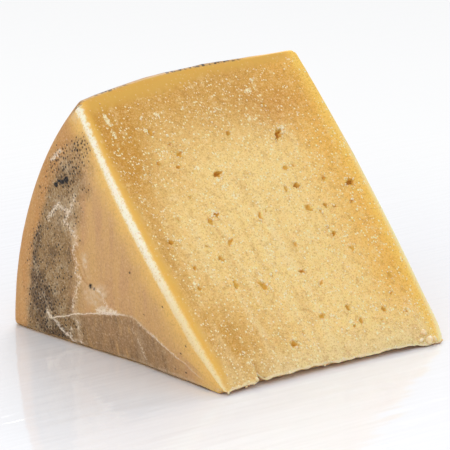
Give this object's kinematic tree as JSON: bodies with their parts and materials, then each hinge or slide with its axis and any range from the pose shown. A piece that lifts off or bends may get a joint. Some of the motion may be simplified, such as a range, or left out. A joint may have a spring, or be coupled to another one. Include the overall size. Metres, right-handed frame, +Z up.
{
  "type": "aged sheep cheese wedge",
  "caption": "Wedge cut from a small round aged sheep cheese, lying on one cut face, with small ragged eyes, a swollen rind face on each side and a curved rim.",
  "frame": {"origin": "middle of the wedge's footprint, on the ground under its lower cut", "axes": "+Z up, out of the ground; -Y from the middle to the thin tip where the two cuts meet, +Y to the curved rim; X along the wheel's axis, from the soft-shouldered rind face at -X to the tight-cornered one at +X"},
  "size_m": [0.0955, 0.1094, 0.081],
  "materials": {
    "cheese": "pale golden paste with a dry beige rind"
  },
  "bodies": {
    "root": {"cheese_wedge": "cheese"}
  },
  "joints": []
}
